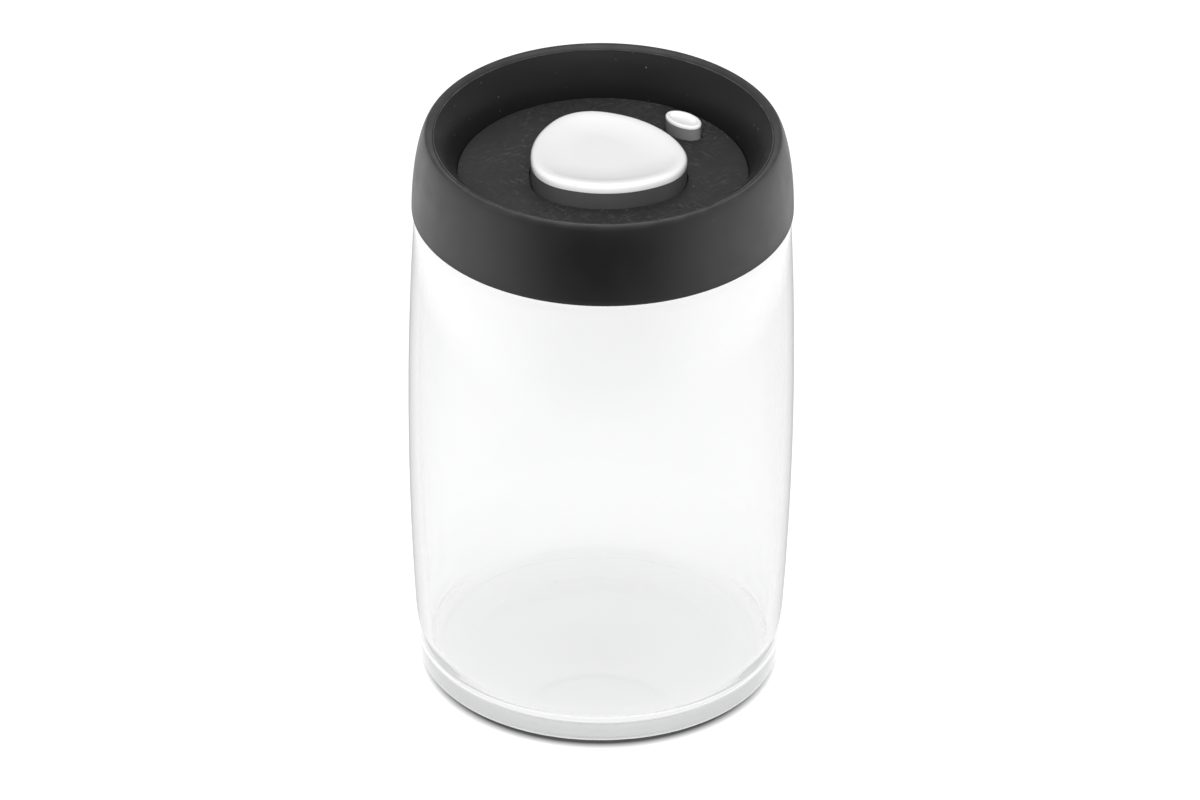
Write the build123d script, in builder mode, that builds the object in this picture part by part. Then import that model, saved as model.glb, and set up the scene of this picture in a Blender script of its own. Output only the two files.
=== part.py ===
from build123d import *
import math
import os

# Vacuum seal canister: a glass jar whose lid carries a small hand pump and a release valve.
# Millimetres, +Z up, origin at the centre of the base of the jar, the front of the lid towards -Y.

os.makedirs("parts", exist_ok=True)

# Shared by all pieces
overrun = 2.0  # how far a cut runs past the solid it opens
stop_gap = 0.1  # between a button's stop and the plate above it
soft_gap = 0.3  # between a soft seal and a face of another body
dome_share = 0.75  # of a dome's rise, at half of its radius
radius_match = 0.05  # how near an edge's radius is to the one looked for
points_per_turn = 60  # of a spring, where the gap between its turns is measured

# Jar
jar_radius = 58.2  # widest, at wide_height
wide_height = 96.0
foot_taper = 4.0  # how much narrower the jar is at its foot
shoulder_taper = 1.6  # how much narrower it is at its shoulder
glass_wall = 3.2
shoulder_height = 156.5
neck_height = 7.0
neck_step = 3.2  # from the shoulder in to the neck
foot_rounding = 3.5
shoulder_rounding = 2.4
neck_rounding = 0.6
lip_rounding = 1.2
base_thickness = 4.5
base_rounding = 7.0  # inside corner between wall and base
inner_crown = 1.0  # rise of the inside of the base at its middle
punt_radius = 37.5
punt_depth = 2.8
punt_rounding = 1.5
mouth_rounding = 2.5

# Lid, outer pieces
skirt_clearance = 1.3  # between the glass neck and the collar
collar_wall = 2.85
collar_gap = 0.5  # between the shoulder of the glass and the collar
collar_height = 25.5
collar_edge_rounding = 0.5
collar_step = 0.7  # inner step that holds the bowl down
collar_step_rise = 2.4
collar_top_gap = 0.1  # between the lip of the bowl and the collar
collar_top_width = 1.6  # level top of the collar, outside the lip of the bowl
collar_side_shares = [(0.41, 0.7), (0.74, 0.92)]  # of the way in to its top, of its height
snap_bead = 0.8  # how far the collar's bead reaches under the lid base
snap_bead_height = 0.9
lip_inset = 3.6  # from the collar's inner wall to the line of the rim
lip_width = 0.85
lip_rise = 0.3  # from the end of the bowl's curve to the top of the lip
bowl_curve = 15.5  # of its wall, which rounds outward to the rim
bowl_run = 7.3  # how much narrower the bowl is at its floor
bowl_wall = 1.8
recess_depth = 13.5
plate_gap = 0.1
plate_thickness = 2.0
plate_rounding = 0.12
ledge_width = 2.4
ledge_thickness = 1.5
bowl_flange = 1.4
bowl_flange_gap = 0.15

# Lid, inner pieces
plug_clearance = 0.3
plug_wall = 1.8
flange_thickness = 1.8
flange_clearance = 0.3
gasket_thickness = 1.65
gasket_width = 3.6
upstand_height = 1.5
upstand_wall = 1.8
floor_thickness = 2.2
plug_chamfer = 1.0
support_wall = 1.6
support_inset = 0.5

# Pump
pump_stroke = 7.0
button_share = 0.546  # of the plate's radius: half of the button's width, which its corners follow
button_corner_shares = [(-0.142, 0.377), (-0.293, -0.209), (0.448, -0.138)]
button_corner_share = 0.61  # the radius of its corners, of that half width
button_side_share = 1.376  # the radius of its sides, of that half width
button_gap = 0.45
skirt_show = 5.2  # grey height that stands above the plate
skirt_wall = 1.8
deck_thickness = 1.5
stop_width = 1.6
stop_thickness = 1.2
cap_height = 2.8
cap_rounding = 1.3
dish_border = 2.4
dish_depth = 1.3
dish_slope = 6.0
dish_shares = [(0, 0), (0.35, 0.6), (1, 1)]  # of the slope's run, of the dish's depth
peg_radius = 1.6
peg_length = 2.4
peg_share = 0.4  # of that half width, out from the middle
peg_count = 3
peg_clearance = 0.1
stem_share = 0.33  # of the piston's radius
screw_radius = 1.3
screw_clearance = 0.05
screw_length = 9.0
screw_head_radius = 3.0
screw_head_height = 1.7
screw_slot_length = 3.0
screw_slot_width = 0.8
screw_slot_depth = 0.9
deck_clearance = 0.6  # left above the cylinder when the button is down
stop_clearance = 0.8  # left above the cylinder's flange when the button is down
cylinder_wall = 1.6
cylinder_fit = 0.1
cylinder_flange = 1.6
cylinder_flange_width = 3.4
cylinder_floor_thickness = 2.0
o_ring_chamfer = 1.7
o_ring_radius = 0.48
piston_inset = 0.6
piston_height = 6.5
piston_fit = 0.08
piston_rim_share = 0.185  # of the piston's radius
piston_web = 1.8
piston_recess = 2.1
seal_height = 2.0
seal_depth = 1.5
seal_fit = 0.04
port_count = 6
outlet_port_radius = 1.0
flap_share = 0.75  # of the room between the stem and the rim of the piston
flap_thickness = 0.8
inlet_port_radius = 0.8
inlet_circle_radius = 4.0
umbrella_radius = 6.5
umbrella_height = 1.2
umbrella_edge = 0.4
umbrella_stem_radius = 1.5
umbrella_stem_fit = 0.05
umbrella_bulb_radius = 2.1
umbrella_bulb_height = 1.5
umbrella_clearance = 0.3
spring_wire = 1.3
spring_turns = 4.5
spring_clearance = 0.3  # between the spring and the cylinder
spring_room = 0.9  # between the spring and the skirt
spring_end_gap = 0.06

# Filter
pad_thickness = 1.9
pad_fit = 0.15
pad_space = 2.0
cover_wall = 1.3
cover_fit = 0.15
cover_hole_radius = 1.0
cover_ring_shares = [0.265, 0.53]  # of the inside radius of the cover
cover_ring_counts = [6, 12]
grip_count = 16
grip_radius = 1.2
grip_depth = 0.5

# Release valve
release_inset = 9.7  # from the edge of the plate in to the middle of the button
release_angle = 45.0
release_turn = 6.0  # how far its long side turns from square to its reach
release_half_length = 6.25
release_half_width = 3.8
release_gap = 0.3
release_travel = 2.5
release_show = 1.2  # grey height left above the plate when the button is down
release_cap_height = 1.1
release_border = 1.1
release_dish_depth = 0.65
release_dish_slope = 1.1
release_rounding = 0.4
release_stop_width = 1.2
release_peg_radius = 1.2
release_peg_length = 1.6
rib_width = 1.2
boss_bore_radius = 2.4
boss_wall = 1.2
boss_height = 3.2
rib_fit = 0.06
pin_radius = 1.2
valve_plug_radius = 4.2
valve_plug_thickness = 2.3
valve_plug_chamfer = 1.0
barb_radius = 1.8
barb_height = 0.8
release_spring_wire = 0.5
release_spring_turns = 5
release_spring_radius = 3.0

# Heights and radii that follow
foot_radius = jar_radius - foot_taper
shoulder_radius = jar_radius - shoulder_taper
neck_radius = shoulder_radius - neck_step
mouth_radius = neck_radius - glass_wall
jar_height = shoulder_height + neck_height
skirt_inner = neck_radius + skirt_clearance
collar_radius = skirt_inner + collar_wall
collar_base = shoulder_height + collar_gap
rim_height = collar_base + collar_height
rim_radius = skirt_inner - lip_inset
lip_outer = rim_radius + lip_width
plate_radius = rim_radius - bowl_run
plate_top = rim_height - recess_depth
plate_base = plate_top - plate_thickness
ledge_base = plate_base - ledge_thickness
bowl_floor_radius = plate_radius + plate_gap
ledge_inner = bowl_floor_radius - ledge_width
plug_radius = mouth_radius - plug_clearance
flange_radius = skirt_inner - flange_clearance
gasket_base = jar_height + soft_gap
flange_base = gasket_base + gasket_thickness
flange_top = flange_base + flange_thickness
upstand_top = flange_top + upstand_height
bowl_flange_top = upstand_top + bowl_flange
stop_top = plate_base - stop_gap
stop_base = stop_top - stop_thickness
floor_top = stop_base - pump_stroke - stop_clearance - cylinder_flange
floor_base = floor_top - floor_thickness
deck_top = plate_top + skirt_show
deck_base = deck_top - deck_thickness
cap_top = deck_top + cap_height
cylinder_top = deck_base - pump_stroke - deck_clearance
piston_top = cylinder_top - piston_inset
piston_base = piston_top - piston_height
web_base = piston_base + piston_recess
web_top = web_base + piston_web
seal_base = piston_base + (piston_height - seal_height) / 2
cylinder_floor = piston_base - pump_stroke - umbrella_height - umbrella_clearance
pad_top = cylinder_floor - cylinder_floor_thickness
cover_floor = pad_top - pad_space
spring_base = floor_top + cylinder_flange
boss_top = floor_top + boss_height
valve_top = floor_base - soft_gap
valve_base = valve_top - valve_plug_thickness
release_top = plate_top + release_travel + release_show
release_cap_top = release_top + release_cap_height
release_reach = plate_radius - release_inset
release_heading = math.radians(release_angle + release_turn)
release_plane = Plane(
    origin=(
        release_reach * math.cos(math.radians(release_angle)),
        release_reach * math.sin(math.radians(release_angle)),
        0,
    ),
    x_dir=(math.sin(release_heading), -math.cos(release_heading), 0),
    z_dir=(0, 0, 1),
)
button_scale = plate_radius * button_share
button_corner_radius = button_scale * button_corner_share
button_side_radius = button_scale * button_side_share


# The pump button is a rounded triangle: three corner arcs joined by three flatter side arcs.
# Each size of it shares the centres of the arcs, so walls and gaps are even all round.
def button_sides():
    corners = [Vector(x * button_scale, y * button_scale) for x, y in button_corner_shares]
    sides = []
    for here, there in zip(corners, corners[1:] + corners[:1]):
        chord = there - here
        outward = Vector(chord.Y, -chord.X).normalized()
        drop = math.sqrt((button_side_radius - button_corner_radius) ** 2 - (chord.length / 2) ** 2)
        sides.append(((here + there) * 0.5 - outward * drop, outward, here, there))
    return sides


def button_arcs(grow):
    sides = button_sides()
    radius = button_side_radius + grow
    arcs = []
    for (middle, outward, here, there), following in zip(sides, sides[1:] + sides[:1]):
        start = middle + (here - middle).normalized() * radius
        end = middle + (there - middle).normalized() * radius
        arcs.append((start, middle + outward * radius, end))
        turned = (there - following[0]).normalized()
        halfway = ((there - middle).normalized() + turned).normalized()
        onward = following[0] + turned * radius
        arcs.append((end, there + halfway * (button_corner_radius + grow), onward))
    return arcs


# How close the button's outline comes to the axis of the pump, which sets the room inside it.
button_inner_reach = min(button_side_radius - side[0].length for side in button_sides())
spring_outer = button_inner_reach - skirt_wall - spring_room
spring_radius = spring_outer - spring_wire / 2
cylinder_radius = spring_outer - spring_wire - spring_clearance
bore_radius = cylinder_radius - cylinder_wall
piston_radius = bore_radius - piston_fit
piston_rim = piston_radius * piston_rim_share
stem_radius = piston_radius * stem_share
flap_radius = stem_radius + (piston_radius - piston_rim - stem_radius) * flap_share
pad_radius = bore_radius - pad_fit
cover_inner = cylinder_radius + cover_fit
cover_radius = cover_inner + cover_wall
o_ring_reach = cylinder_radius + cylinder_fit + o_ring_radius


# The four corners of a ring's section, from its radii and heights.
def ring(inner, outer, low, high):
    return [(inner, low), (outer, low), (outer, high), (inner, high)]


# Whether an edge is a circle of about this radius.
def is_ring(edge, radius):
    return edge.geom_type == GeomType.CIRCLE and abs(edge.radius - radius) < radius_match


# Three points of the arc of this radius about a centre, from the direction of one point to another's.
def arc_about(centre, radius, first, last):
    leaving = (first - centre).normalized()
    arriving = (last - centre).normalized()
    halfway = (leaving + arriving).normalized()
    return centre + leaving * radius, centre + halfway * radius, centre + arriving * radius


# The bowl rounds outward from the edge of its floor to the rim, on one arc with an even wall behind it.
bowl_low = Vector(bowl_floor_radius, plate_top)
bowl_high = Vector(rim_radius, rim_height - lip_rise)
bowl_chord = bowl_high - bowl_low
bowl_outward = Vector(bowl_chord.Y, -bowl_chord.X).normalized()
bowl_drop = math.sqrt(bowl_curve**2 - (bowl_chord.length / 2) ** 2)
bowl_centre = (bowl_low + bowl_high) * 0.5 + bowl_outward * bowl_drop
bowl_behind = bowl_curve - bowl_wall
lip_foot = Vector(
    lip_outer,
    bowl_centre.Y + math.sqrt(bowl_behind**2 - (bowl_centre.X - lip_outer) ** 2),
)
flange_middle = upstand_top + bowl_flange / 2
bowl_flange_inner = bowl_centre.X - math.sqrt(
    (bowl_curve - bowl_wall / 2) ** 2 - (bowl_centre.Y - flange_middle) ** 2
)


# A spring's centre line: a biarc, two arcs that share a tangent, for each half turn of the helix.
def spring_arcs(radius, low, high, turns):
    steps = math.ceil(turns * 2)
    rise = (high - low) / (turns * 2 * math.pi)
    arcs = []
    ends = []
    for step in range(steps + 1):
        angle = turns * 2 * math.pi * step / steps
        point = Vector(radius * math.cos(angle), radius * math.sin(angle), low + rise * angle)
        ends.append((point, Vector(-radius * math.sin(angle), radius * math.cos(angle), rise).normalized()))
    for (start, leaving), (finish, arriving) in zip(ends, ends[1:]):
        span = finish - start
        both = leaving + arriving
        bend = 2 * (1 - leaving.dot(arriving))
        reach = (math.sqrt(span.dot(both) ** 2 + bend * span.dot(span)) - span.dot(both)) / bend
        early = start + leaving * reach
        late = finish - arriving * reach
        joint = (early + late) * 0.5
        arcs.append((start, joint, leaving))
        arcs.append((joint, finish, late - early))
    return arcs


def print_least_gap(name, line, turns, wire):
    count = math.ceil(turns * points_per_turn)
    points = [line @ (i / count) for i in range(count + 1)]
    least = min(
        (points[i] - points[j]).length
        for i in range(count + 1)
        for j in range(i + points_per_turn // 2, count + 1)
    )
    print(f"{name}: least gap between turns {least - wire:.2f} mm")


# The glass jar: a barrel wall, a thick base with a punt, and a short neck with a rounded lip.
with BuildPart() as jar:
    with BuildSketch(Plane.XZ):
        with BuildLine():
            Line((0, 0), (foot_radius, 0))
            ThreePointArc((foot_radius, 0), (jar_radius, wide_height), (shoulder_radius, shoulder_height))
            Polyline(
                (shoulder_radius, shoulder_height),
                (neck_radius, shoulder_height),
                (neck_radius, jar_height),
                (0, jar_height),
                (0, 0),
            )
        outer = make_face()
        corners = outer.vertices().group_by(Axis.Y)
        fillet(corners[0].sort_by(Axis.X)[-1], foot_rounding)
        shoulder = outer.vertices().filter_by(lambda v: v.X > neck_radius and v.Y > wide_height)
        fillet(shoulder, shoulder_rounding)
    revolve(axis=Axis.Z)
    with BuildSketch(Plane.XZ):
        with BuildLine():
            foot_inside = foot_radius - glass_wall
            shoulder_inside = shoulder_radius - glass_wall
            inside_top = shoulder_height - glass_wall
            ThreePointArc(
                (foot_inside, base_thickness),
                (jar_radius - glass_wall, wide_height),
                (shoulder_inside, inside_top),
            )
            Polyline(
                (shoulder_inside, inside_top),
                (mouth_radius, shoulder_height),
                (mouth_radius, jar_height + overrun),
                (0, jar_height + overrun),
                (0, base_thickness + inner_crown),
            )
            ThreePointArc(
                (0, base_thickness + inner_crown),
                (foot_inside / 2, base_thickness + inner_crown * dome_share),
                (foot_inside, base_thickness),
            )
        inner = make_face()
        foot = inner.vertices().filter_by(lambda v: v.X > mouth_radius and v.Y < wide_height)
        fillet(foot, base_rounding)
        fillet(inner.vertices().sort_by(Axis.X)[-1], mouth_rounding)
    revolve(axis=Axis.Z, mode=Mode.SUBTRACT)
    with BuildSketch(Plane.XZ):
        with BuildLine():
            ThreePointArc((punt_radius, 0), (punt_radius / 2, punt_depth * dome_share), (0, punt_depth))
            Polyline((0, punt_depth), (0, 0), (punt_radius, 0))
        make_face()
    revolve(axis=Axis.Z, mode=Mode.SUBTRACT)
    fillet(jar.edges().filter_by(GeomType.CIRCLE).group_by(Axis.Z)[-1], lip_rounding)
    neck_root = jar.edges().filter_by(lambda e: is_ring(e, neck_radius)).sort_by(Axis.Z)[0]
    fillet(neck_root, neck_rounding)
    punt_edge = jar.edges().filter_by(lambda e: is_ring(e, punt_radius)).sort_by(Axis.Z)[0]
    fillet(punt_edge, punt_rounding)
jar.part.label = "jar"
export_step(jar.part, "parts/jar.step")


# The outer collar: a tapering ring, with a bead and a step inside that hold the lid together.
with BuildPart() as outer_collar:
    with BuildSketch(Plane.XZ):
        with BuildLine():
            opening = lip_outer + collar_top_gap
            top_radius = opening + collar_top_width
            side_run = collar_radius - top_radius
            turns = [
                (collar_radius - side_run * inward, collar_base + collar_height * upward)
                for inward, upward in collar_side_shares
            ]
            side = [(collar_radius, collar_base), *turns, (top_radius, rim_height)]
            Spline(*side, tangents=[(0, 1), (-1, 0)])
            bead_top = flange_base - stop_gap
            Polyline(
                (top_radius, rim_height),
                (opening, rim_height),
                (opening, bowl_flange_top + collar_step_rise),
                (skirt_inner - collar_step, bowl_flange_top),
                (skirt_inner, bowl_flange_top),
                (skirt_inner, bead_top),
                (flange_radius - snap_bead, bead_top),
                (flange_radius - snap_bead, bead_top - snap_bead_height / 2),
                (skirt_inner, bead_top - snap_bead_height * 2),
                (skirt_inner, collar_base),
                (collar_radius, collar_base),
            )
        make_face()
    revolve(axis=Axis.Z)
    fillet(outer_collar.edges().group_by(Axis.Z)[0], collar_edge_rounding)
outer_collar.part.label = "outer_collar"
export_step(outer_collar.part, "parts/outer_collar.step")


# The bowl: a wall that rounds over from the lip of the rim down to a ledge that carries the top plate.
with BuildPart() as recess_bowl:
    with BuildSketch(Plane.XZ):
        with BuildLine():
            inner_arc = ThreePointArc(*arc_about(bowl_centre, bowl_curve, bowl_low, bowl_high))
            outer_arc = ThreePointArc(*arc_about(bowl_centre, bowl_behind, bowl_low, lip_foot))
            wall_foot = (outer_arc @ 0).X
            Polyline(inner_arc @ 0, (bowl_floor_radius, plate_base), (wall_foot, plate_base), outer_arc @ 0)
            Polyline(inner_arc @ 1, (rim_radius, rim_height), (lip_outer, rim_height), lip_foot)
        make_face()
        Polygon(*ring(ledge_inner, bowl_floor_radius + bowl_wall, ledge_base, plate_base))
        Polygon(*ring(bowl_floor_radius, bowl_floor_radius + bowl_wall, ledge_base, plate_top))
        Polygon(*ring(bowl_flange_inner, skirt_inner - bowl_flange_gap, upstand_top, bowl_flange_top))
    revolve(axis=Axis.Z)
    fillet(recess_bowl.edges().group_by(Axis.Z)[-1], lip_width / 4)
recess_bowl.part.label = "recess_bowl"
export_step(recess_bowl.part, "parts/recess_bowl.step")


# The floor disc of the bowl, with a hole for each button.
with BuildPart() as top_plate:
    with BuildSketch(Plane.XY.offset(plate_base)):
        Circle(plate_radius)
        with BuildLine():
            for arc in button_arcs(button_gap):
                ThreePointArc(*arc)
        make_face(mode=Mode.SUBTRACT)
    extrude(amount=plate_thickness)
    with BuildSketch(release_plane.offset(plate_base - overrun)):
        Ellipse(release_half_length + release_gap, release_half_width + release_gap)
    extrude(amount=plate_thickness + overrun * 2, mode=Mode.SUBTRACT)
    plate_edge = top_plate.edges().filter_by(lambda e: is_ring(e, plate_radius)).sort_by(Axis.Z)[-1]
    fillet(plate_edge, plate_rounding)
top_plate.part.label = "top_plate"
export_step(top_plate.part, "parts/top_plate.step")


# The lid base: a plug with a flange over the rim of the jar, a well floor, and the valve's boss.
with BuildPart() as lid_base:
    with BuildSketch(Plane.XZ):
        plug_inner = plug_radius - plug_wall
        support_inner = ledge_inner + support_inset
        Polygon(*ring(cylinder_radius + cylinder_fit, plug_radius, floor_base, floor_top))
        Polygon(*ring(plug_inner, plug_radius, floor_base, flange_top))
        Polygon(*ring(plug_inner, flange_radius, flange_base, flange_top))
        Polygon(*ring(flange_radius - upstand_wall, flange_radius, flange_top, upstand_top))
        Polygon(*ring(support_inner, support_inner + support_wall, floor_top, ledge_base))
    revolve(axis=Axis.Z)
    with BuildSketch(release_plane.offset(floor_top)):
        Circle(boss_bore_radius + boss_wall)
    extrude(amount=boss_height)
    with BuildSketch(release_plane.offset(floor_base - overrun)):
        Circle(boss_bore_radius)
    extrude(amount=boss_top - floor_base + overrun * 2, mode=Mode.SUBTRACT)
    plug_edge = lid_base.edges().filter_by(lambda e: is_ring(e, plug_radius)).sort_by(Axis.Z)[0]
    chamfer(plug_edge, plug_chamfer)
    seat_edge = lid_base.edges().filter_by(lambda e: is_ring(e, cylinder_radius + cylinder_fit))
    chamfer(seat_edge.sort_by(Axis.Z)[-1], o_ring_chamfer)
lid_base.part.label = "lid_base"
export_step(lid_base.part, "parts/lid_base.step")


# The silicone ring under the flange, which seals on the rim of the jar.
with BuildPart() as rim_gasket:
    with BuildSketch(Plane.XZ):
        Polygon(*ring(plug_radius, plug_radius + gasket_width, gasket_base, flange_base))
    revolve(axis=Axis.Z)
    fillet(rim_gasket.edges().group_by(Axis.Z)[0], gasket_thickness / 4)
rim_gasket.part.label = "rim_gasket"
export_step(rim_gasket.part, "parts/rim_gasket.step")


# The pump cylinder: an open bore with a flange, a floor with inlet holes, and room for the filter below.
with BuildPart() as pump_cylinder:
    with BuildSketch(Plane.XZ):
        Polygon(*ring(bore_radius, cylinder_radius, cover_floor, cylinder_top))
        Polygon(*ring(0, bore_radius, pad_top, cylinder_floor))
        Polygon(*ring(bore_radius, cylinder_radius + cylinder_flange_width, floor_top, spring_base))
    revolve(axis=Axis.Z)
    with BuildSketch(Plane.XY.offset(pad_top)):
        Circle(umbrella_stem_radius + umbrella_stem_fit)
        with PolarLocations(inlet_circle_radius, port_count):
            Circle(inlet_port_radius)
    extrude(amount=cylinder_floor_thickness, mode=Mode.SUBTRACT)
    mouth_edge = pump_cylinder.edges().filter_by(lambda e: is_ring(e, bore_radius)).sort_by(Axis.Z)[-1]
    chamfer(mouth_edge, cylinder_wall / 4)
pump_cylinder.part.label = "pump_cylinder"
export_step(pump_cylinder.part, "parts/pump_cylinder.step")


# The O-ring in the chamfer of the lid base, under the flange of the cylinder.
with BuildPart() as cylinder_o_ring:
    with BuildSketch(Plane.XZ):
        with Locations((o_ring_reach, floor_top - o_ring_radius)):
            Circle(o_ring_radius)
    revolve(axis=Axis.Z)
cylinder_o_ring.part.label = "cylinder_o_ring"
export_step(cylinder_o_ring.part, "parts/cylinder_o_ring.step")


# The inlet valve: a silicone umbrella over the inlet holes, held by its stem and bulb.
with BuildPart() as inlet_valve:
    with BuildSketch(Plane.XZ):
        with BuildLine():
            umbrella_crown = umbrella_height - umbrella_edge
            dome = ThreePointArc(
                (0, cylinder_floor + umbrella_height),
                (umbrella_radius / 2, cylinder_floor + umbrella_edge + umbrella_crown * dome_share),
                (umbrella_radius, cylinder_floor + umbrella_edge),
            )
            Polyline(
                dome @ 1,
                (umbrella_radius, cylinder_floor),
                (umbrella_stem_radius, cylinder_floor),
                (umbrella_stem_radius, pad_top),
                (umbrella_bulb_radius, pad_top),
                (umbrella_bulb_radius, pad_top - umbrella_bulb_height / 2),
                (umbrella_stem_radius, pad_top - umbrella_bulb_height),
                (0, pad_top - umbrella_bulb_height),
                dome @ 0,
            )
        make_face()
    revolve(axis=Axis.Z)
inlet_valve.part.label = "inlet_valve"
export_step(inlet_valve.part, "parts/inlet_valve.step")


# The felt disc that keeps dust out of the pump.
with BuildPart() as filter_pad:
    with BuildSketch(Plane.XZ):
        pad_hole = umbrella_bulb_radius + soft_gap
        Polygon(*ring(pad_hole, pad_radius, cover_floor, cover_floor + pad_thickness))
    revolve(axis=Axis.Z)
filter_pad.part.label = "filter_pad"
export_step(filter_pad.part, "parts/filter_pad.step")


# The filter cover: a perforated cup round the foot of the cylinder, with grip flutes.
with BuildPart() as filter_cover:
    with BuildSketch(Plane.XZ):
        Polygon(*ring(cover_inner, cover_radius, cover_floor - cover_wall, floor_base))
        Polygon(*ring(0, cover_radius, cover_floor - cover_wall, cover_floor))
    revolve(axis=Axis.Z)
    fillet(filter_cover.edges().group_by(Axis.Z)[0], cover_wall / 2)
    with BuildSketch(Plane.XY.offset(cover_floor - cover_wall)):
        Circle(cover_hole_radius)
        for share, count in zip(cover_ring_shares, cover_ring_counts):
            with PolarLocations(cover_inner * share, count):
                Circle(cover_hole_radius)
    extrude(amount=cover_wall, mode=Mode.SUBTRACT)
    with BuildSketch(Plane.XY.offset(cover_floor)):
        with PolarLocations(cover_radius + grip_radius - grip_depth, grip_count):
            Circle(grip_radius)
    extrude(amount=floor_base - cover_floor, mode=Mode.SUBTRACT)
filter_cover.part.label = "filter_cover"
export_step(filter_cover.part, "parts/filter_cover.step")


# The grey skirt of the pump button: a deep shell with a stop round its foot and a stem in its middle.
with BuildPart() as button_skirt:
    with BuildSketch(Plane.XY.offset(stop_base)):
        with BuildLine():
            for arc in button_arcs(0):
                ThreePointArc(*arc)
        make_face()
    extrude(amount=deck_top - stop_base)
    with BuildSketch(Plane.XY.offset(stop_base)):
        with BuildLine():
            for arc in button_arcs(stop_width):
                ThreePointArc(*arc)
        make_face()
    extrude(amount=stop_thickness)
    with BuildSketch(Plane.XY.offset(stop_base)):
        with BuildLine():
            for arc in button_arcs(-skirt_wall):
                ThreePointArc(*arc)
        make_face()
    extrude(amount=deck_base - stop_base, mode=Mode.SUBTRACT)
    with BuildSketch(Plane.XY.offset(piston_top)):
        Circle(stem_radius)
    extrude(amount=deck_base - piston_top)
    with BuildSketch(Plane.XY.offset(piston_top)):
        Circle(screw_radius + screw_clearance)
    extrude(amount=web_base + screw_length + screw_clearance - piston_top, mode=Mode.SUBTRACT)
    with BuildSketch(Plane.XY.offset(deck_base)):
        with PolarLocations(button_scale * peg_share, peg_count):
            Circle(peg_radius + peg_clearance)
    extrude(amount=deck_thickness, mode=Mode.SUBTRACT)
button_skirt.part.label = "button_skirt"
export_step(button_skirt.part, "parts/button_skirt.step")


# The white cap of the pump button: a rounded border round a shallow dish, with pegs into the skirt.
with BuildPart() as button_cap:
    with BuildSketch(Plane.XY.offset(deck_top)):
        with BuildLine():
            for arc in button_arcs(0):
                ThreePointArc(*arc)
        make_face()
    extrude(amount=cap_height)
    fillet(button_cap.edges().group_by(Axis.Z)[-1], cap_rounding)
    for run_share, depth_share in dish_shares:
        with BuildSketch(Plane.XY.offset(cap_top - dish_depth * depth_share)):
            with BuildLine():
                for arc in button_arcs(-dish_border - dish_slope * run_share):
                    ThreePointArc(*arc)
            make_face()
    loft(mode=Mode.SUBTRACT)
    with BuildSketch(Plane.XY.offset(deck_top - peg_length)):
        with PolarLocations(button_scale * peg_share, peg_count):
            Circle(peg_radius)
    extrude(amount=peg_length)
button_cap.part.label = "button_cap"
export_step(button_cap.part, "parts/button_cap.step")


# The piston: a web with outlet holes inside a rim that holds the seal.
with BuildPart() as piston:
    with BuildSketch(Plane.XZ):
        Polygon(*ring(piston_radius - piston_rim, piston_radius, piston_base, piston_top))
        Polygon(*ring(0, piston_radius - piston_rim, web_base, web_top))
        Polygon(*ring(0, stem_radius, web_base, piston_top))
        Polygon(
            *ring(piston_radius - seal_depth, piston_radius + overrun, seal_base, seal_base + seal_height),
            mode=Mode.SUBTRACT,
        )
    revolve(axis=Axis.Z)
    with BuildSketch(Plane.XY.offset(web_base)):
        Circle(screw_radius + screw_clearance)
        with PolarLocations((stem_radius + flap_radius) / 2, port_count):
            Circle(outlet_port_radius)
    extrude(amount=piston_top - web_base, mode=Mode.SUBTRACT)
piston.part.label = "piston"
export_step(piston.part, "parts/piston.step")


# The lip ring of the piston, with a V between its two lips.
with BuildPart() as piston_seal:
    with BuildSketch(Plane.XZ):
        seal_outer = bore_radius - seal_fit
        Polygon(*ring(piston_radius - seal_depth, seal_outer, seal_base, seal_base + seal_height))
        Polygon(
            (seal_outer, seal_base + seal_height / 4),
            (seal_outer - seal_depth / 3, seal_base + seal_height / 2),
            (seal_outer, seal_base + seal_height * 3 / 4),
            mode=Mode.SUBTRACT,
        )
    revolve(axis=Axis.Z)
piston_seal.part.label = "piston_seal"
export_step(piston_seal.part, "parts/piston_seal.step")


# The flap ring over the outlet holes.
with BuildPart() as exhaust_valve:
    with BuildSketch(Plane.XZ):
        Polygon(*ring(stem_radius, flap_radius, web_top, web_top + flap_thickness))
    revolve(axis=Axis.Z)
exhaust_valve.part.label = "exhaust_valve"
export_step(exhaust_valve.part, "parts/exhaust_valve.step")


# The screw that holds the piston to the stem, with a cross recess in its head.
with BuildPart() as piston_screw:
    with BuildSketch(Plane.XZ):
        Polygon(*ring(0, screw_head_radius, web_base - screw_head_height, web_base))
        Polygon(*ring(0, screw_radius, web_base, web_base + screw_length))
    revolve(axis=Axis.Z)
    fillet(piston_screw.edges().group_by(Axis.Z)[0], screw_head_height / 3)
    with BuildSketch(Plane.XY.offset(web_base - screw_head_height)):
        Rectangle(screw_slot_length, screw_slot_width)
        Rectangle(screw_slot_width, screw_slot_length)
    extrude(amount=screw_slot_depth, mode=Mode.SUBTRACT)
    chamfer(piston_screw.edges().group_by(Axis.Z)[-1], screw_radius / 2)
piston_screw.part.label = "piston_screw"
export_step(piston_screw.part, "parts/piston_screw.step")


# The return spring of the pump, round the cylinder.
with BuildPart() as pump_spring:
    with BuildLine() as pump_wire:
        low = spring_base + spring_wire / 2 + spring_end_gap
        high = deck_base - spring_wire / 2 - spring_end_gap
        for start, end, tangent in spring_arcs(spring_radius, low, high, spring_turns):
            TangentArc(start, end, tangent=tangent)
    with BuildSketch(Plane(origin=pump_wire.line @ 0, z_dir=pump_wire.line % 0)):
        Circle(spring_wire / 2)
    sweep()
print_least_gap("pump_spring", pump_wire.line, spring_turns, spring_wire)
pump_spring.part.label = "pump_spring"
export_step(pump_spring.part, "parts/pump_spring.step")


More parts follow.
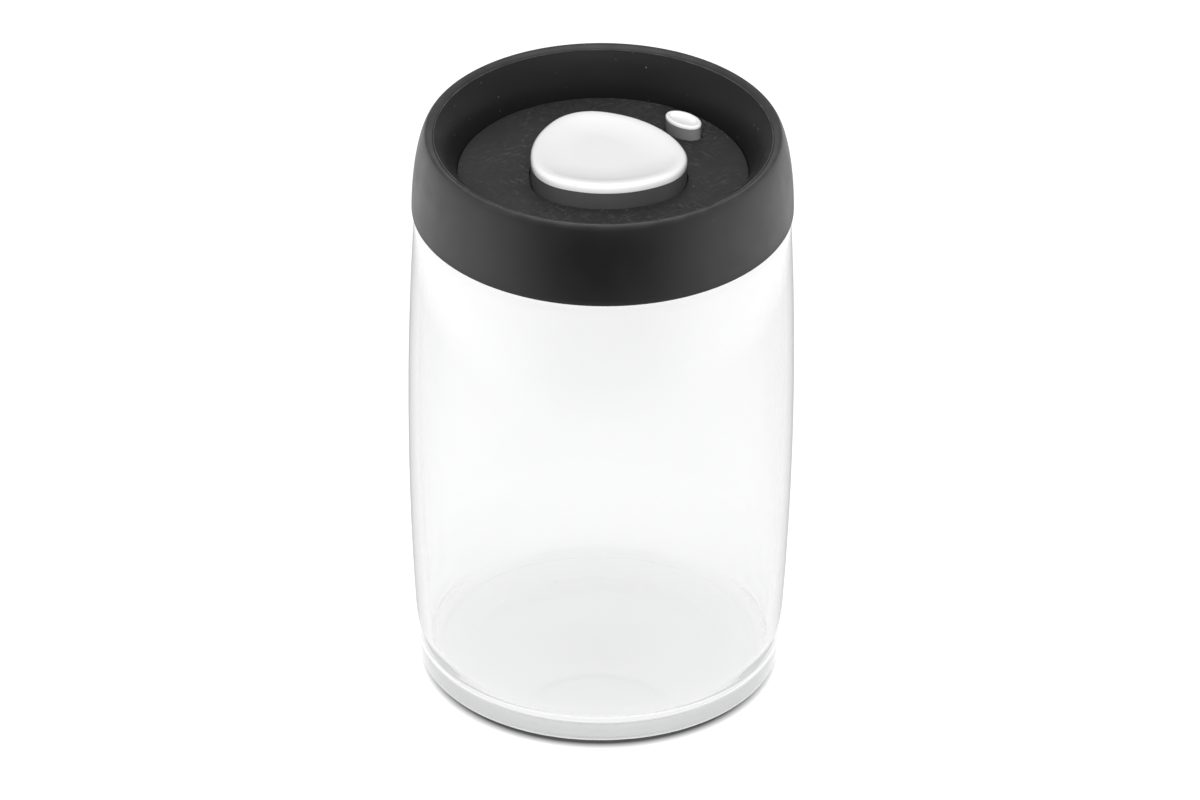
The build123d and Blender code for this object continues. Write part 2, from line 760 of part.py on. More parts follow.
# The release button's grey body: an oval with a stop, and a ribbed stem down to the plug.
with BuildPart() as release_stem:
    with BuildSketch(release_plane.offset(stop_base)):
        Ellipse(release_half_length, release_half_width)
    extrude(amount=release_top - stop_base)
    with BuildSketch(release_plane.offset(stop_base)):
        Ellipse(release_half_length + release_stop_width, release_half_width + release_stop_width)
    extrude(amount=stop_thickness)
    rib_length = math.sqrt((boss_bore_radius - rib_fit) ** 2 - (rib_width / 2) ** 2) * 2
    with BuildSketch(release_plane.offset(valve_top)):
        Rectangle(rib_length, rib_width)
        Rectangle(rib_width, rib_length)
    extrude(amount=stop_base - valve_top)
    with BuildSketch(release_plane.offset(valve_base)):
        Circle(pin_radius)
    extrude(amount=valve_top - valve_base)
    with BuildSketch(release_plane.offset(valve_base - barb_height)):
        Circle(barb_radius)
    extrude(amount=barb_height)
    with BuildSketch(release_plane.offset(release_top)):
        Circle(release_peg_radius + peg_clearance)
    extrude(amount=-release_peg_length - peg_clearance, mode=Mode.SUBTRACT)
release_stem.part.label = "release_stem"
export_step(release_stem.part, "parts/release_stem.step")


# The white top of the release button: a raised oval border round a dish, with a peg below.
with BuildPart() as release_cap:
    with BuildSketch(release_plane.offset(release_top)):
        Ellipse(release_half_length, release_half_width)
    extrude(amount=release_cap_height)
    fillet(release_cap.edges().group_by(Axis.Z)[-1], release_rounding)
    dish_narrowing = release_border + release_dish_slope
    for narrowing, depth in ((release_border, 0), (dish_narrowing, release_dish_depth)):
        with BuildSketch(release_plane.offset(release_cap_top - depth)):
            Ellipse(release_half_length - narrowing, release_half_width - narrowing)
    loft(mode=Mode.SUBTRACT)
    with BuildSketch(release_plane.offset(release_top - release_peg_length)):
        Circle(release_peg_radius)
    extrude(amount=release_peg_length)
release_cap.part.label = "release_cap"
export_step(release_cap.part, "parts/release_cap.step")


# The silicone plug that closes the air hole from below.
with BuildPart() as release_plug:
    with BuildSketch(release_plane.offset(valve_base)):
        Circle(valve_plug_radius)
        Circle(pin_radius, mode=Mode.SUBTRACT)
    extrude(amount=valve_plug_thickness)
    rim = release_plug.edges().filter_by(lambda e: is_ring(e, valve_plug_radius)).sort_by(Axis.Z)[-1]
    chamfer(rim, valve_plug_chamfer)
release_plug.part.label = "release_plug"
export_step(release_plug.part, "parts/release_plug.step")


# The return spring of the release button, between the boss and the stop.
with BuildPart() as release_spring:
    with BuildLine() as release_wire:
        low = boss_top + release_spring_wire / 2 + spring_end_gap
        high = stop_base - release_spring_wire / 2 - spring_end_gap
        for start, end, tangent in spring_arcs(release_spring_radius, low, high, release_spring_turns):
            TangentArc(start + release_plane.origin, end + release_plane.origin, tangent=tangent)
    with BuildSketch(Plane(origin=release_wire.line @ 0, z_dir=release_wire.line % 0)):
        Circle(release_spring_wire / 2)
    sweep()
print_least_gap("release_spring", release_wire.line, release_spring_turns, release_spring_wire)
release_spring.part.label = "release_spring"
export_step(release_spring.part, "parts/release_spring.step")
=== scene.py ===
import bpy
import bmesh
import math
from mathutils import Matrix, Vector


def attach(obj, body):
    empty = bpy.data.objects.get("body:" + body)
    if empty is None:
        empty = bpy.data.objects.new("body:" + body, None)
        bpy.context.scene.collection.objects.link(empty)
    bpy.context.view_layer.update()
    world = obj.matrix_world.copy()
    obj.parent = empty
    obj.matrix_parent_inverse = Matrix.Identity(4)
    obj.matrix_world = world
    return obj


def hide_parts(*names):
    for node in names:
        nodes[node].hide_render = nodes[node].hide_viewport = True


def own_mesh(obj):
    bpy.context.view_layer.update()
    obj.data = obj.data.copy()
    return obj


# A vacuum seal canister: glass jar, charcoal lid with a press pump button and a small release button.
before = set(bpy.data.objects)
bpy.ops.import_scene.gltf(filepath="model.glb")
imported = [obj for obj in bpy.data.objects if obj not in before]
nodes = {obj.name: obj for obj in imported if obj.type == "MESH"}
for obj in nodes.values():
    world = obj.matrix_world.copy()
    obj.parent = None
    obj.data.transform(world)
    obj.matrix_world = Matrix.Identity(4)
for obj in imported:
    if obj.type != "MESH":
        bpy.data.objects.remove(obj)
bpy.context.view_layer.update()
mm = 0.001
near = 1e-6  # how close a vertex is to the ring it belongs to
upright = 0.9  # a face whose normal rises more than this looks up
footSegments = 2  # steps of the small bevel under both buttons' caps


# Small modelling helpers first: every piece below is drawn with them.
def objectMode():
    if bpy.context.object and bpy.context.object.mode != "OBJECT":
        bpy.ops.object.mode_set(mode="OBJECT")
    bpy.ops.object.select_all(action="DESELECT")


def startCircle(name, sides, radius, place, fill="NOTHING", turn=0):
    objectMode()
    bpy.ops.mesh.primitive_circle_add(
        vertices=sides, radius=radius, fill_type=fill, location=place, rotation=(0, 0, turn)
    )
    piece = bpy.context.active_object
    piece.name = name
    piece.data.name = name
    return piece


def edit(piece):
    objectMode()
    piece.select_set(True)
    bpy.context.view_layer.objects.active = piece
    bpy.ops.object.mode_set(mode="EDIT")


def pickEdges(piece, test):
    bpy.ops.mesh.select_mode(type="EDGE")
    bpy.ops.mesh.select_all(action="DESELECT")
    shape = bmesh.from_edit_mesh(piece.data)
    for edge in shape.edges:
        if test(edge.verts[0].co) and test(edge.verts[1].co):
            edge.select_set(True)
    bmesh.update_edit_mesh(piece.data)


def pickFaces(piece, test):
    bpy.ops.mesh.select_mode(type="FACE")
    bpy.ops.mesh.select_all(action="DESELECT")
    shape = bmesh.from_edit_mesh(piece.data)
    for face in shape.faces:
        face.select_set(test(face))
    bmesh.update_edit_mesh(piece.data)


def pickRing(piece, radius, height):
    def onRing(co):
        return abs(math.hypot(co.x, co.y) - radius * mm) < near and abs(co.z - height * mm) < near
    pickEdges(piece, onRing)


def roundRing(piece, radius, height, width, steps):
    pickRing(piece, radius, height)
    bpy.ops.mesh.bevel(offset=width * mm, segments=steps, profile=0.5, affect="EDGES")


def capRing(piece, radius, height):
    pickRing(piece, radius, height)
    bpy.ops.mesh.edge_face_add()
    bpy.ops.mesh.poke()


# Draws a section out of a circle, ring by ring, as radius and height in millimetres.
def turned(name, sides, rings, closed):
    piece = startCircle(name, sides, rings[0][0] * mm, (0, 0, rings[0][1] * mm))
    bpy.ops.object.transform_apply(location=True, rotation=True, scale=True)
    edit(piece)
    bpy.ops.mesh.select_mode(type="EDGE")
    bpy.ops.mesh.select_all(action="SELECT")
    path = rings + rings[:1] if closed else rings
    for (radius, height), (nextRadius, nextHeight) in zip(path, path[1:]):
        bpy.ops.mesh.extrude_region_move(
            TRANSFORM_OT_translate={"value": (0, 0, (nextHeight - height) * mm)}
        )
        grow = nextRadius / radius
        bpy.ops.transform.resize(value=(grow, grow, 1), center_override=(0, 0, nextHeight * mm))
    bpy.ops.mesh.select_all(action="SELECT")
    bpy.ops.mesh.remove_doubles(threshold=near)
    return piece


def finishPiece(piece, angle=35):
    bpy.ops.mesh.select_all(action="SELECT")
    bpy.ops.mesh.remove_doubles(threshold=near / 10)
    bpy.ops.mesh.normals_make_consistent(inside=False)
    objectMode()
    piece.select_set(True)
    bpy.context.view_layer.objects.active = piece
    bpy.ops.object.transform_apply(location=True, rotation=True, scale=True)
    bpy.ops.object.shade_smooth_by_angle(angle=math.radians(angle))
    return piece


# Points of an arc through three points, first to last.
def arcPoints(first, paintedShadeDisc, last, steps):
    (ax, ay), (bx, by), (cx, cy) = first, paintedShadeDisc, last
    a, b, c = ax**2 + ay**2, bx**2 + by**2, cx**2 + cy**2
    double = 2 * (ax * (by - cy) + bx * (cy - ay) + cx * (ay - by))
    x = (a * (by - cy) + b * (cy - ay) + c * (ay - by)) / double
    y = (a * (cx - bx) + b * (ax - cx) + c * (bx - ax)) / double
    radius = math.hypot(ax - x, ay - y)
    start = math.atan2(ay - y, ax - x)
    sweep = math.atan2(cy - y, cx - x) - start
    sweep = (sweep + math.pi) % math.tau - math.pi
    angles = [start + sweep * i / steps for i in range(steps + 1)]
    return [(x + radius * math.cos(angle), y + radius * math.sin(angle)) for angle in angles]


# Points of a curve that leaves its first point towards the second and reaches the last from the third.
def curvePoints(p0, p1, p2, p3, steps):
    points = []
    for i in range(steps + 1):
        t = i / steps
        weights = ((1 - t) ** 3, 3 * (1 - t) ** 2 * t, 3 * (1 - t) * t * t, t**3)
        points.append(tuple(sum(w * p[k] for w, p in zip(weights, (p0, p1, p2, p3))) for k in (0, 1)))
    return points


def link(mat, source, target):
    mat.node_tree.links.new(source, target)


def addNode(mat, kind, **values):
    node = mat.node_tree.nodes.new(kind)
    for key, value in values.items():
        if key in node.inputs:
            node.inputs[key].default_value = value
        else:
            setattr(node, key, value)
    return node


def noise(mat, coords, scale, detail=3.0, stretch=(1, 1, 1), turn=0):
    mapping = addNode(mat, "ShaderNodeMapping", vector_type="TEXTURE")
    mapping.inputs["Rotation"].default_value = (0, 0, math.radians(turn))
    mapping.inputs["Scale"].default_value = [1 / share for share in stretch]
    texture = addNode(mat, "ShaderNodeTexNoise", Scale=scale, Detail=detail)
    link(mat, coords, mapping.inputs["Vector"])
    link(mat, mapping.outputs["Vector"], texture.inputs["Vector"])
    return texture.outputs["Fac"]


def remap(mat, source, fromLow, fromHigh, toLow, toHigh):
    node = addNode(mat, "ShaderNodeMapRange")
    for name, value in (
        ("From Min", fromLow), ("From Max", fromHigh), ("To Min", toLow), ("To Max", toHigh)
    ):
        node.inputs[name].default_value = value
    link(mat, source, node.inputs["Value"])
    return node.outputs["Result"]


def calc(mat, operation, first, second):
    node = addNode(mat, "ShaderNodeMath", operation=operation)
    for socket, value in zip(node.inputs, (first, second)):
        if isinstance(value, (int, float)):
            socket.default_value = value
        else:
            link(mat, value, socket)
    return node.outputs["Value"]


def blendColour(mat, share, first, second):
    node = addNode(mat, "ShaderNodeMix", data_type="RGBA")
    link(mat, share, node.inputs["Factor"])
    for name, value in (("A", first), ("B", second)):
        socket = [s for s in node.inputs if s.name == name and s.type == "RGBA"][0]
        if isinstance(value, (tuple, list)):
            socket.default_value = (*value, 1)
        else:
            link(mat, value, socket)
    return [s for s in node.outputs if s.type == "RGBA"][0]


# Length across from two lengths at a right angle.
def sideLength(mat, first, second):
    squares = calc(mat, "ADD", calc(mat, "MULTIPLY", first, first), calc(mat, "MULTIPLY", second, second))
    return calc(mat, "SQRT", squares, 0.0)


# How far out from the upright axis a point is.
def reach(mat, coords):
    split = addNode(mat, "ShaderNodeSeparateXYZ")
    link(mat, coords, split.inputs[0])
    return sideLength(mat, split.outputs["X"], split.outputs["Y"])


# Share that is 1 on a ring of this radius and height and falls to 0 at its width.
def ringMask(mat, coords, radius, height, width):
    split = addNode(mat, "ShaderNodeSeparateXYZ")
    link(mat, coords, split.inputs[0])
    across = calc(mat, "SUBTRACT", reach(mat, coords), radius * mm)
    above = calc(mat, "SUBTRACT", split.outputs["Z"], height * mm)
    return remap(mat, sideLength(mat, across, above), 0.0, width * mm, 1.0, 0.0)


# What all finishes share: ends say between which noise values a mask fades, scales are per metre.
shading = {
    "patchEnds": (0.35, 0.65), "wearAndHighlightScale": 180.0, "wearAndHighlightEnds": (0.3, 0.7), "wearAndHighlightLeast": 0.3,
    "dustEnds": (0.46, 0.56), "grainDetail": 4.0, "scratchDetail": 2.0, "scratchFade": 0.1,
    "scratchEnds": (0.42, 0.62), "glossScaleShare": 2.5, "glossEnds": (0.3, 0.7),
    "coatRoughness": 0.08, "softReach": 2.0,
}


# Moulded plastic, rubber, felt or metal: mottled colour, fine grain, uneven gloss, lighter edge rings for
# worn edges and painted highlights, and dust.
def makeFinish(name, finish):
    s = shading
    mat = bpy.data.materials.new(name)
    mat.use_nodes = True
    shader = mat.node_tree.nodes["Principled BSDF"]
    coords = addNode(mat, "ShaderNodeTexCoord").outputs["Object"]
    patches = remap(mat, noise(mat, coords, finish["patchScale"]), *s["patchEnds"], 0.0, 1.0)
    colour = blendColour(mat, patches, finish["colour"], finish["secondColour"])
    # Lighter rings along edges: worn edges, and on the bowl's lip also a painted highlight.
    for radius, height, width, strength in finish.get("wearAndHighlight", []):
        edge = ringMask(mat, coords, radius, height, width)
        uneven = remap(mat, noise(mat, coords, s["wearAndHighlightScale"]), *s["wearAndHighlightEnds"], s["wearAndHighlightLeast"], 1.0)
        share = calc(mat, "MULTIPLY", calc(mat, "MULTIPLY", edge, uneven), strength)
        colour = blendColour(mat, share, colour, finish["wearAndHighlightColour"])
    if "dust" in finish:
        dust = finish["dust"]
        specks = addNode(mat, "ShaderNodeTexVoronoi", Scale=dust["scale"])
        link(mat, coords, specks.inputs["Vector"])
        dot = remap(mat, specks.outputs["Distance"], 0.0, dust["size"], 1.0, 0.0)
        some = remap(mat, noise(mat, coords, dust["gather"]), *s["dustEnds"], 0.0, 1.0)
        share = calc(mat, "MULTIPLY", calc(mat, "MULTIPLY", dot, some), dust["strength"])
        colour = blendColour(mat, share, colour, dust["colour"])
    for scratch in finish.get("scratches", []):
        lines = noise(mat, coords, scratch["scale"], s["scratchDetail"], scratch["stretch"], scratch["turn"])
        marks = remap(mat, lines, scratch["from"], scratch["from"] + s["scratchFade"], 0.0, 1.0)
        where = remap(mat, noise(mat, coords, scratch["gather"]), *s["scratchEnds"], 0.0, 1.0)
        share = calc(mat, "MULTIPLY", calc(mat, "MULTIPLY", marks, where), scratch["strength"])
        colour = blendColour(mat, share, colour, scratch["colour"])
    grain = noise(mat, coords, finish["grainScale"], s["grainDetail"], finish.get("grainStretch", (1, 1, 1)))
    depth = finish["grainDepth"] * mm
    bump = addNode(mat, "ShaderNodeBump", Strength=finish["grainStrength"], Distance=depth)
    link(mat, grain, bump.inputs["Height"])
    link(mat, bump.outputs["Normal"], shader.inputs["Normal"])
    uneven = noise(mat, coords, finish["patchScale"] * s["glossScaleShare"])
    gloss = remap(mat, uneven, *s["glossEnds"], *finish["roughness"])
    link(mat, gloss, shader.inputs["Roughness"])
    link(mat, colour, shader.inputs["Base Color"])
    shader.inputs["Specular IOR Level"].default_value = finish.get("specular", 0.5)
    shader.inputs["Metallic"].default_value = finish.get("metallic", 0.0)
    shader.inputs["Coat Weight"].default_value = finish.get("coat", 0.0)
    shader.inputs["Coat Roughness"].default_value = s["coatRoughness"]
    shader.inputs["Sheen Weight"].default_value = finish.get("sheen", 0.0)
    shader.inputs["Subsurface Weight"].default_value = finish.get("soft", 0.0)
    shader.inputs["Subsurface Radius"].default_value = (s["softReach"] * mm,) * 3
    return mat


def dress(piece, mat):
    piece.data.materials.clear()
    piece.data.materials.append(mat)


jar = {
    "sides": 192,
    "foot": 54.2, "belly": 58.2, "bellyHeight": 96, "shoulder": 56.6, "shoulderHeight": 156.5,
    "wall": 3.2, "neck": 53.4, "mouth": 50.2, "top": 163.5, "base": 4.5,
    "punt": 37.5, "puntDepth": 2.8, "crown": 1.0, "pole": 1.5, "smoothAngle": 40,
    "outsideSteps": 24, "insideSteps": 40, "cornerSteps": 12,
    "domeShares": (0.2, 0.4, 0.6, 0.8, 1), "floorShares": (0.7, 0.5, 0.3, 0.15),
    "innerRound": 7.0, "wallFootShare": 0.9, "easeShare": 0.42, "easeIn": 0.15, "easeUp": 0.12,
    "rounds": {  # width and steps of each rounded edge
        "foot": (3.5, 8), "shoulder": (2.4, 6), "neckFoot": (0.6, 3), "lip": (1.2, 6),
        "insideShoulder": (1.6, 5), "throat": (0.9, 4), "punt": (0.7, 4),
    },
    "clarity": (0.99, 0.991, 0.991), "ior": 1.5, "absorb": 6.0, "absorbColour": (0.0, 0.03, 0.03),
    "hazeScale": 60.0, "hazeEnds": (0.4, 0.75), "haze": 0.012,
    "rippleScale": 38.0, "rippleStretch": (1, 1, 0.45), "rippleStrength": 0.25, "rippleDepth": 0.05,
    "deepFrom": 3.5, "lampShare": 0.955,
}


def buildJar():
    s = jar
    shoulder = (s["shoulder"], s["shoulderHeight"])
    outside = arcPoints((s["foot"], 0), (s["belly"], s["bellyHeight"]), shoulder, s["outsideSteps"])
    inFoot, inBelly, inShoulder = (s[name] - s["wall"] for name in ("foot", "belly", "shoulder"))
    inTop = s["shoulderHeight"] - s["wall"]
    inside = arcPoints(
        (inShoulder, inTop), (inBelly, s["bellyHeight"]), (inFoot, s["base"]), s["insideSteps"]
    )
    bend, ease = s["innerRound"], s["innerRound"] * s["easeShare"]
    inside = [p for p in inside if p[1] > s["base"] + bend]
    footRadius = (inside[-1][0] + inFoot) / 2
    floorEdge = inFoot - bend
    corner = curvePoints(
        (footRadius, s["base"] + bend * s["wallFootShare"]), (footRadius - s["easeIn"], s["base"] + ease),
        (inFoot - ease, s["base"] + s["easeUp"]),
        (floorEdge, s["base"] + s["crown"] * (1 - (floorEdge / inFoot) ** 2)), s["cornerSteps"],
    )
    dome = [
        (s["punt"] * r, s["puntDepth"] * (1 - r * r)) for r in (s["pole"] / s["punt"], *s["domeShares"])
    ]
    floor = [
        (inFoot * r, s["base"] + s["crown"] * (1 - r * r)) for r in (*s["floorShares"], s["pole"] / inFoot)
    ]
    neck = [(s["neck"], s["shoulderHeight"]), (s["neck"], s["top"])]
    mouth = [(s["mouth"], s["top"]), (s["mouth"], s["shoulderHeight"])]
    rings = dome + outside + neck + mouth + inside + corner + floor
    piece = turned("jarGlass", s["sides"], rings, False)
    capRing(piece, *rings[0])
    capRing(piece, *rings[-1])
    for name, radius, height in (
        ("foot", s["foot"], 0), ("shoulder", *shoulder), ("neckFoot", *neck[0]), ("lip", *neck[1]),
        ("lip", *mouth[0]), ("insideShoulder", inShoulder, inTop), ("throat", *mouth[1]),
        ("punt", s["punt"], 0),
    ):
        roundRing(piece, radius, height, *s["rounds"][name])
    return finishPiece(piece, s["smoothAngle"])


# Clear glass: lamp light and rays that have crossed many walls go straight through.
def glassFinish():
    s = jar
    mat = bpy.data.materials.new("clearGlass")
    mat.use_nodes = True
    shader = mat.node_tree.nodes["Principled BSDF"]
    output = mat.node_tree.nodes["Material Output"]
    coords = addNode(mat, "ShaderNodeTexCoord").outputs["Object"]
    shader.inputs["Base Color"].default_value = (*s["clarity"], 1)
    shader.inputs["Transmission Weight"].default_value = 1.0
    shader.inputs["IOR"].default_value = s["ior"]
    rough = remap(mat, noise(mat, coords, s["hazeScale"]), *s["hazeEnds"], 0.0, s["haze"])
    link(mat, rough, shader.inputs["Roughness"])
    ripple = noise(mat, coords, s["rippleScale"], 1.0, s["rippleStretch"])
    bump = addNode(mat, "ShaderNodeBump", Strength=s["rippleStrength"], Distance=s["rippleDepth"] * mm)
    link(mat, ripple, bump.inputs["Height"])
    link(mat, bump.outputs["Normal"], shader.inputs["Normal"])
    through = addNode(mat, "ShaderNodeBsdfTransparent")
    through.inputs["Color"].default_value = (s["lampShare"],) * 3 + (1,)
    rays = addNode(mat, "ShaderNodeLightPath")
    mix = addNode(mat, "ShaderNodeMixShader")
    deep = calc(mat, "GREATER_THAN", rays.outputs["Ray Depth"], s["deepFrom"])
    link(mat, calc(mat, "MAXIMUM", rays.outputs["Is Shadow Ray"], deep), mix.inputs["Fac"])
    link(mat, shader.outputs["BSDF"], mix.inputs[1])
    link(mat, through.outputs["BSDF"], mix.inputs[2])
    link(mat, mix.outputs["Shader"], output.inputs["Surface"])
    absorb = addNode(mat, "ShaderNodeVolumeAbsorption")
    absorb.inputs["Color"].default_value = (*s["absorbColour"], 1)
    absorb.inputs["Density"].default_value = s["absorb"]
    link(mat, absorb.outputs["Volume"], output.inputs["Volume"])
    return mat


jarGlass = buildJar()
dress(jarGlass, glassFinish())
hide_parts("jar")
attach(jarGlass, "jar")
print("jar done")


collar = {
    "sides": 192, "base": 156.65, "foot": 57.55, "rise": 16.0, "turn": 1.3, "top": 182.5, "topEdge": 53.4,
    "crown": [(52.75, 182.4), (52.1, 182.1), (51.6, 181.75)], "opening": 51.32, "openingTop": 181.52,
    "step": 54.0, "stepTop": 172.55, "stepBase": 170.15, "inner": 54.7,
    "beadTop": 165.35, "beadDepth": 1.1, "beadEdge": 0.45, "beadHeight": 1.8,
    "sideSteps": 22, "openingRound": (0.08, 3), "footRound": (0.5, 4),
    "finish": {
        "colour": (0.0055, 0.0055, 0.006), "secondColour": (0.0075, 0.0075, 0.008), "patchScale": 45.0,
        "grainScale": 2600.0, "grainStrength": 0.16, "grainDepth": 0.05, "roughness": (0.34, 0.42),
        "specular": 0.5, "wearAndHighlightColour": (0.075, 0.075, 0.077),
        "wearAndHighlight": [(52.9, 182.3, 1.8, 0.4), (57.5, 156.75, 0.5, 0.4)],
        "dust": {
            "scale": 330.0, "size": 0.06, "gather": 60.0, "strength": 0.3, "colour": (0.25, 0.25, 0.25),
        },
    },
}


def buildCollar():
    s = collar
    side = curvePoints(
        (s["foot"], s["base"]), (s["foot"], s["base"] + s["rise"]), (s["topEdge"] + s["turn"], s["top"]),
        (s["topEdge"], s["top"]), s["sideSteps"],
    )
    bead = s["inner"] - s["beadDepth"]
    rings = side + s["crown"] + [
        (s["opening"], s["openingTop"]), (s["opening"], s["stepTop"]), (s["step"], s["stepBase"]),
        (s["inner"], s["stepBase"]), (s["inner"], s["beadTop"]), (bead, s["beadTop"]),
        (bead, s["beadTop"] - s["beadEdge"]), (s["inner"], s["beadTop"] - s["beadHeight"]),
        (s["inner"], s["base"]),
    ]
    piece = turned("collarRing", s["sides"], rings, True)
    roundRing(piece, s["opening"], s["openingTop"], *s["openingRound"])
    roundRing(piece, s["foot"], s["base"], *s["footRound"])
    roundRing(piece, s["inner"], s["base"], *s["footRound"])
    return finishPiece(piece)


collarRing = buildCollar()
dress(collarRing, makeFinish("collarPlastic", collar["finish"]))
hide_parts("outer_collar")
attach(collarRing, "lid")
print("collar done")


bowl = {
    "sides": 192, "floorRadius": 43.95, "floorHeight": 169.0, "rim": 50.85, "lipOuter": 51.28,
    "curve": 15.5, "top": 181.62, "curveTop": 181.35, "wall": 1.8,
    "ledgeInner": 41.55, "ledgeTop": 167.0, "ledgeBase": 165.5,
    "flange": 54.55, "flangeTop": 170.15, "flangeBase": 168.75,
    "curveSteps": 22, "wallSteps": 6, "lipRound": (0.1, 3), "rimRound": (0.15, 3),
    "finish": {
        "colour": (0.0085, 0.0085, 0.009), "secondColour": (0.0105, 0.0105, 0.011), "patchScale": 40.0,
        "grainScale": 2600.0, "grainStrength": 0.14, "grainDepth": 0.05, "roughness": (0.4, 0.5),
        "specular": 0.16, "wearAndHighlightColour": (0.12, 0.12, 0.122),
        # The lip ring is partly wear and partly a painted highlight along the lip's rounded edge.
        "wearAndHighlight": [(51.08, 181.62, 0.4, 1.0)],
        "dust": {
            "scale": 330.0, "size": 0.085, "gather": 50.0, "strength": 0.7, "colour": (0.35, 0.35, 0.35),
        },
    },
}


# The wall rounds over outward: its arc is centred outside it, and so is the back of the wall.
def buildBowl():
    s = bowl
    low, high = Vector((s["floorRadius"], s["floorHeight"])), Vector((s["rim"], s["curveTop"]))
    chord = high - low
    outward = Vector((chord.y, -chord.x)).normalized()
    drop = math.sqrt(s["curve"] ** 2 - (chord.length / 2) ** 2)
    centre = (low + high) / 2 + outward * drop
    inner = arcPoints(tuple(low), tuple(centre - outward * s["curve"]), tuple(high), s["curveSteps"])
    behind = s["curve"] - s["wall"]

    def wallAt(height):
        return centre.x - math.sqrt(behind**2 - (height - centre.y) ** 2)

    lipFoot = centre.y + math.sqrt(behind**2 - (centre.x - s["lipOuter"]) ** 2)
    fall = (lipFoot - s["flangeTop"]) / s["wallSteps"]
    wallHeights = [lipFoot - fall * i for i in range(s["wallSteps"] + 1)]
    rings = inner + [(s["rim"], s["top"]), (s["lipOuter"], s["top"])]
    rings += [(wallAt(height), height) for height in wallHeights]
    ledge = s["floorRadius"] + s["wall"]
    rings += [
        (s["flange"], s["flangeTop"]), (s["flange"], s["flangeBase"]),
        (wallAt(s["flangeBase"]), s["flangeBase"]),
        (ledge, s["ledgeTop"]), (ledge, s["ledgeBase"]), (s["ledgeInner"], s["ledgeBase"]),
        (s["ledgeInner"], s["ledgeTop"]), (s["floorRadius"], s["ledgeTop"]),
    ]
    piece = turned("recessWall", s["sides"], rings, True)
    roundRing(piece, s["lipOuter"], s["top"], *s["lipRound"])
    roundRing(piece, s["rim"], s["top"], *s["rimRound"])
    return finishPiece(piece)


recessWall = buildBowl()
dress(recessWall, makeFinish("bowlPlastic", bowl["finish"]))
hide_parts("recess_bowl")
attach(recessWall, "lid")
print("bowl done")


pumpCap = {
    "points": 240, "start": 20.0, "scale": 23.9148,
    "cornerShares": [(-0.142, 0.377), (-0.293, -0.209), (0.448, -0.138)],
    "cornerShare": 0.61, "sideShare": 1.376,
    "base": 174.2, "height": 2.8, "round": 1.5, "roundSteps": 7, "foot": 0.12, "smoothAngle": 50,
    "border": 0.3, "dishRun": 12.0, "dishDepth": 1.6, "dishSteps": 20, "dishSteep": 0.15,
    "finish": {
        "colour": (0.85, 0.85, 0.85), "secondColour": (0.87, 0.87, 0.87), "patchScale": 30.0,
        "grainScale": 900.0, "grainStrength": 0.04, "grainDepth": 0.03, "roughness": (0.2, 0.28),
        "specular": 0.5, "coat": 0.15,
    },
}


# The outline: three corner arcs joined by three flatter arcs, as points with even spacing.
def buttonOutline(count):
    s = pumpCap
    corners = [Vector((x, y)) * s["scale"] for x, y in s["cornerShares"]]
    cornerRadius, sideRadius = s["scale"] * s["cornerShare"], s["scale"] * s["sideShare"]
    sides = []
    for here, there in zip(corners, corners[1:] + corners[:1]):
        chord = there - here
        outward = Vector((chord.y, -chord.x)).normalized()
        drop = math.sqrt((sideRadius - cornerRadius) ** 2 - (chord.length / 2) ** 2)
        sides.append(((here + there) / 2 - outward * drop, here, there))
    arcs = []
    for (paintedShadeDisc, here, there), following in zip(sides, sides[1:] + sides[:1]):
        arcs.append((paintedShadeDisc, sideRadius, here - paintedShadeDisc, there - paintedShadeDisc))
        arcs.append((there, cornerRadius, there - paintedShadeDisc, there - following[0]))
    spans = []
    for centre, radius, leaving, arriving in arcs:
        start = math.atan2(leaving.y, leaving.x)
        sweep = (math.atan2(arriving.y, arriving.x) - start + math.pi) % math.tau - math.pi
        spans.append((centre, radius, start, sweep, radius * abs(sweep)))
    whole = sum(span[4] for span in spans)
    points = []
    for i in range(count):
        along = whole * i / count
        for centre, radius, start, sweep, length in spans:
            if along <= length:
                angle = start + sweep * along / length
                points.append((centre.x + radius * math.cos(angle), centre.y + radius * math.sin(angle)))
                break
            along -= length
    return points


def shapeOutline(piece, points, height):
    edit(piece)
    shape = bmesh.from_edit_mesh(piece.data)
    shape.verts.ensure_lookup_table()
    for vert, (x, y) in zip(shape.verts, points):
        vert.co = (x * mm, y * mm, height * mm)
    bmesh.update_edit_mesh(piece.data)


# Presses a dish into the face that looks up: its slope grows over the steep share and then evens out.
def pressDish(run, depth, steps, steep):
    last = 0
    for i in range(1, steps + 1):
        t = i / steps
        if t < steep:
            fall = depth * t * t / steep
        else:
            fall = depth * (steep + (2 * (t - steep) - t * t + steep**2) / (1 - steep))
        bpy.ops.mesh.inset(thickness=run / steps * mm, depth=-(fall - last) * mm, use_even_offset=True)
        last = fall


# Turns a flat outline in edit mode into a cap: raised, rounded at the top and foot, dished inside a border.
def raiseCap(piece, s):
    bpy.ops.mesh.select_all(action="SELECT")
    bpy.ops.mesh.extrude_region_move(TRANSFORM_OT_translate={"value": (0, 0, s["height"] * mm)})
    top = (s["base"] + s["height"]) * mm
    pickEdges(piece, lambda co: abs(co.z - top) < near)
    bpy.ops.mesh.bevel(offset=s["round"] * mm, segments=s["roundSteps"], profile=0.5, affect="EDGES")
    pickEdges(piece, lambda co: abs(co.z - s["base"] * mm) < near)
    bpy.ops.mesh.bevel(offset=s["foot"] * mm, segments=footSegments, affect="EDGES")

    def isTop(face):
        return face.normal.z > upright and abs(face.calc_center_median().z - top) < near * 10

    pickFaces(piece, isTop)
    bpy.ops.mesh.inset(thickness=s["border"] * mm, depth=0, use_even_offset=True)
    pressDish(s["dishRun"], s["dishDepth"], s["dishSteps"], s["dishSteep"])
    return finishPiece(piece, s["smoothAngle"])


